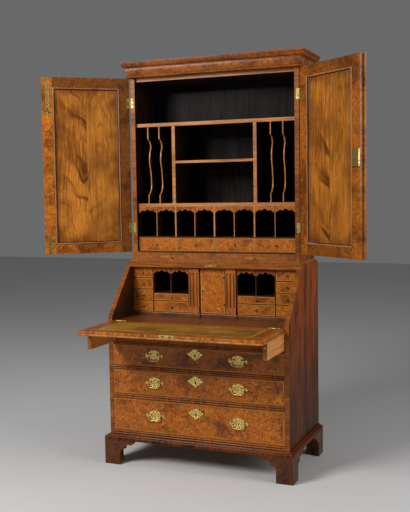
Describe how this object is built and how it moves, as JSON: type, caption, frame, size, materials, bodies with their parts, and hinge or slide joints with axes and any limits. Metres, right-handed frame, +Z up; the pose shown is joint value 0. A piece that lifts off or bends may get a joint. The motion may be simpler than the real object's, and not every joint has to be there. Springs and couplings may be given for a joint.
{
  "type": "bureau bookcase",
  "caption": "Walnut bureau bookcase: slant-fronted desk with fitted interior over long drawers, under a bookcase with panelled doors, shelves and pigeonholes.",
  "frame": {"origin": "floor level under the middle of the object as it stands open", "axes": "+X to the right of someone who faces it, +Y to the back, +Z up"},
  "size_m": [1.6923, 0.88, 2.082],
  "materials": {
    "walnut_burr": "waxed burr veneer",
    "walnut": "waxed",
    "oak": "plain, aged",
    "brass": "aged, lightly polished",
    "leather": "worn skiver"
  },
  "bodies": {
    "case": {"bureau_sides": "walnut", "bureau_boards": "oak", "bureau_back": "oak", "drawer_rails": "walnut", "well_front": "walnut", "base_moulding": "walnut", "bracket_feet": "walnut", "interior_carcase": "walnut", "pigeonhole_valances": "walnut", "bookcase_sides": "walnut", "bookcase_boards": "walnut", "bookcase_back": "oak", "bookcase_dividers": "walnut", "base_rail": "walnut", "cornice": "walnut", "case_hinges": "brass"},
    "left_door": {"left_door": "walnut", "left_door_brasses": "brass"},
    "right_door": {"right_door": "walnut", "right_door_brasses": "brass"},
    "door_bolt_top": {"door_bolt_top": "brass"},
    "door_bolt_bottom": {"door_bolt_bottom": "brass"},
    "fall": {"fall": "walnut_burr", "fall_leather": "leather", "fall_brasses": "brass"},
    "loper_left": {"loper_left": "walnut_burr"},
    "loper_right": {"loper_right": "walnut_burr"},
    "long_drawer_top": {"long_drawer_top": "walnut_burr", "top_drawer_brasses": "brass"},
    "top_bail_left": {"top_bail_left": "brass"},
    "top_bail_right": {"top_bail_right": "brass"},
    "long_drawer_middle": {"long_drawer_middle": "walnut_burr", "middle_drawer_brasses": "brass"},
    "middle_bail_left": {"middle_bail_left": "brass"},
    "middle_bail_right": {"middle_bail_right": "brass"},
    "long_drawer_bottom": {"long_drawer_bottom": "walnut_burr", "bottom_drawer_brasses": "brass"},
    "bottom_bail_left": {"bottom_bail_left": "brass"},
    "bottom_bail_right": {"bottom_bail_right": "brass"},
    "upper_drawer_outer_left": {"upper_drawer_outer_left": "walnut_burr"},
    "upper_drawer_inner_left": {"upper_drawer_inner_left": "walnut_burr"},
    "upper_drawer_inner_right": {"upper_drawer_inner_right": "walnut_burr"},
    "upper_drawer_outer_right": {"upper_drawer_outer_right": "walnut_burr"},
    "candle_slide_left": {"candle_slide_left": "walnut_burr"},
    "candle_slide_right": {"candle_slide_right": "walnut_burr"},
    "left_stack_drawer_1": {"left_stack_drawer_1": "walnut_burr"},
    "left_stack_drawer_2": {"left_stack_drawer_2": "walnut_burr"},
    "left_stack_drawer_3": {"left_stack_drawer_3": "walnut_burr"},
    "left_stack_drawer_4": {"left_stack_drawer_4": "walnut_burr"},
    "left_under_drawer_upper": {"left_under_drawer_upper": "walnut_burr"},
    "left_under_drawer_lower": {"left_under_drawer_lower": "walnut_burr"},
    "pilaster_slide_left": {"pilaster_slide_left": "walnut_burr"},
    "right_stack_drawer_1": {"right_stack_drawer_1": "walnut_burr"},
    "right_stack_drawer_2": {"right_stack_drawer_2": "walnut_burr"},
    "right_stack_drawer_3": {"right_stack_drawer_3": "walnut_burr"},
    "right_stack_drawer_4": {"right_stack_drawer_4": "walnut_burr"},
    "right_under_drawer_upper": {"right_under_drawer_upper": "walnut_burr"},
    "right_under_drawer_lower": {"right_under_drawer_lower": "walnut_burr"},
    "pilaster_slide_right": {"pilaster_slide_right": "walnut_burr"},
    "cupboard_door": {"cupboard_door": "walnut_burr"}
  },
  "joints": [
    {"name": "left_door_hinge", "type": "hinge", "parent": "case", "child": "left_door", "pos_m": [-0.4661, 0.17049, 1.54], "axis": [0, 0, -1], "range_deg": [-141, 35]},
    {"name": "right_door_hinge", "type": "hinge", "parent": "case", "child": "right_door", "pos_m": [0.4661, 0.17049, 1.54], "axis": [0, 0, 1], "range_deg": [-141, 35]},
    {"name": "top_bolt_slide", "type": "slide", "parent": "left_door", "child": "door_bolt_top", "axis": [0, 0, 1], "range_m": [0, 0.014]},
    {"name": "bottom_bolt_slide", "type": "slide", "parent": "left_door", "child": "door_bolt_bottom", "axis": [0, 0, -1], "range_m": [0, 0.014]},
    {"name": "fall_hinge", "type": "hinge", "parent": "case", "child": "fall", "pos_m": [0, -0.09401, 0.745], "axis": [1, 0, 0], "range_deg": [-131.29, 0]},
    {"name": "loper_left_slide", "type": "slide", "parent": "case", "child": "loper_left", "axis": [0, -1, 0], "range_m": [-0.255, 0]},
    {"name": "loper_right_slide", "type": "slide", "parent": "case", "child": "loper_right", "axis": [0, -1, 0], "range_m": [-0.255, 0]},
    {"name": "long_drawer_top_slide", "type": "slide", "parent": "case", "child": "long_drawer_top", "axis": [0, -1, 0], "range_m": [0, 0.38]},
    {"name": "top_bail_left_pivot", "type": "hinge", "parent": "long_drawer_top", "child": "top_bail_left", "pos_m": [-0.225, -0.10501, 0.58078], "axis": [-1, 0, 0], "range_deg": [0, 85]},
    {"name": "top_bail_right_pivot", "type": "hinge", "parent": "long_drawer_top", "child": "top_bail_right", "pos_m": [0.225, -0.10501, 0.58078], "axis": [-1, 0, 0], "range_deg": [0, 85]},
    {"name": "long_drawer_middle_slide", "type": "slide", "parent": "case", "child": "long_drawer_middle", "axis": [0, -1, 0], "range_m": [0, 0.38]},
    {"name": "middle_bail_left_pivot", "type": "hinge", "parent": "long_drawer_middle", "child": "middle_bail_left", "pos_m": [-0.225, -0.10501, 0.44288], "axis": [-1, 0, 0], "range_deg": [0, 85]},
    {"name": "middle_bail_right_pivot", "type": "hinge", "parent": "long_drawer_middle", "child": "middle_bail_right", "pos_m": [0.225, -0.10501, 0.44288], "axis": [-1, 0, 0], "range_deg": [0, 85]},
    {"name": "long_drawer_bottom_slide", "type": "slide", "parent": "case", "child": "long_drawer_bottom", "axis": [0, -1, 0], "range_m": [0, 0.38]},
    {"name": "bottom_bail_left_pivot", "type": "hinge", "parent": "long_drawer_bottom", "child": "bottom_bail_left", "pos_m": [-0.225, -0.10501, 0.27388], "axis": [-1, 0, 0], "range_deg": [0, 85]},
    {"name": "bottom_bail_right_pivot", "type": "hinge", "parent": "long_drawer_bottom", "child": "bottom_bail_right", "pos_m": [0.225, -0.10501, 0.27388], "axis": [-1, 0, 0], "range_deg": [0, 85]},
    {"name": "upper_drawer_outer_left_slide", "type": "slide", "parent": "case", "child": "upper_drawer_outer_left", "axis": [0, -1, 0], "range_m": [0, 0.15]},
    {"name": "upper_drawer_inner_left_slide", "type": "slide", "parent": "case", "child": "upper_drawer_inner_left", "axis": [0, -1, 0], "range_m": [0, 0.15]},
    {"name": "upper_drawer_inner_right_slide", "type": "slide", "parent": "case", "child": "upper_drawer_inner_right", "axis": [0, -1, 0], "range_m": [0, 0.15]},
    {"name": "upper_drawer_outer_right_slide", "type": "slide", "parent": "case", "child": "upper_drawer_outer_right", "axis": [0, -1, 0], "range_m": [0, 0.15]},
    {"name": "candle_slide_left_slide", "type": "slide", "parent": "case", "child": "candle_slide_left", "axis": [0, -1, 0], "range_m": [0, 0.155]},
    {"name": "candle_slide_right_slide", "type": "slide", "parent": "case", "child": "candle_slide_right", "axis": [0, -1, 0], "range_m": [0, 0.155]},
    {"name": "left_stack_drawer_1_slide", "type": "slide", "parent": "case", "child": "left_stack_drawer_1", "axis": [0, -1, 0], "range_m": [0, 0.17]},
    {"name": "left_stack_drawer_2_slide", "type": "slide", "parent": "case", "child": "left_stack_drawer_2", "axis": [0, -1, 0], "range_m": [0, 0.17]},
    {"name": "left_stack_drawer_3_slide", "type": "slide", "parent": "case", "child": "left_stack_drawer_3", "axis": [0, -1, 0], "range_m": [0, 0.17]},
    {"name": "left_stack_drawer_4_slide", "type": "slide", "parent": "case", "child": "left_stack_drawer_4", "axis": [0, -1, 0], "range_m": [0, 0.17]},
    {"name": "left_under_drawer_upper_slide", "type": "slide", "parent": "case", "child": "left_under_drawer_upper", "axis": [0, -1, 0], "range_m": [0, 0.17]},
    {"name": "left_under_drawer_lower_slide", "type": "slide", "parent": "case", "child": "left_under_drawer_lower", "axis": [0, -1, 0], "range_m": [0, 0.17]},
    {"name": "pilaster_slide_left_slide", "type": "slide", "parent": "case", "child": "pilaster_slide_left", "axis": [0, -1, 0], "range_m": [0, 0.17]},
    {"name": "right_stack_drawer_1_slide", "type": "slide", "parent": "case", "child": "right_stack_drawer_1", "axis": [0, -1, 0], "range_m": [0, 0.17]},
    {"name": "right_stack_drawer_2_slide", "type": "slide", "parent": "case", "child": "right_stack_drawer_2", "axis": [0, -1, 0], "range_m": [0, 0.17]},
    {"name": "right_stack_drawer_3_slide", "type": "slide", "parent": "case", "child": "right_stack_drawer_3", "axis": [0, -1, 0], "range_m": [0, 0.17]},
    {"name": "right_stack_drawer_4_slide", "type": "slide", "parent": "case", "child": "right_stack_drawer_4", "axis": [0, -1, 0], "range_m": [0, 0.17]},
    {"name": "right_under_drawer_upper_slide", "type": "slide", "parent": "case", "child": "right_under_drawer_upper", "axis": [0, -1, 0], "range_m": [0, 0.17]},
    {"name": "right_under_drawer_lower_slide", "type": "slide", "parent": "case", "child": "right_under_drawer_lower", "axis": [0, -1, 0], "range_m": [0, 0.17]},
    {"name": "pilaster_slide_right_slide", "type": "slide", "parent": "case", "child": "pilaster_slide_right", "axis": [0, -1, 0], "range_m": [0, 0.17]},
    {"name": "cupboard_hinge", "type": "hinge", "parent": "case", "child": "cupboard_door", "pos_m": [0.068, 0.14729, 0.8824], "axis": [0, 0, 1], "range_deg": [0, 90]}
  ]
}
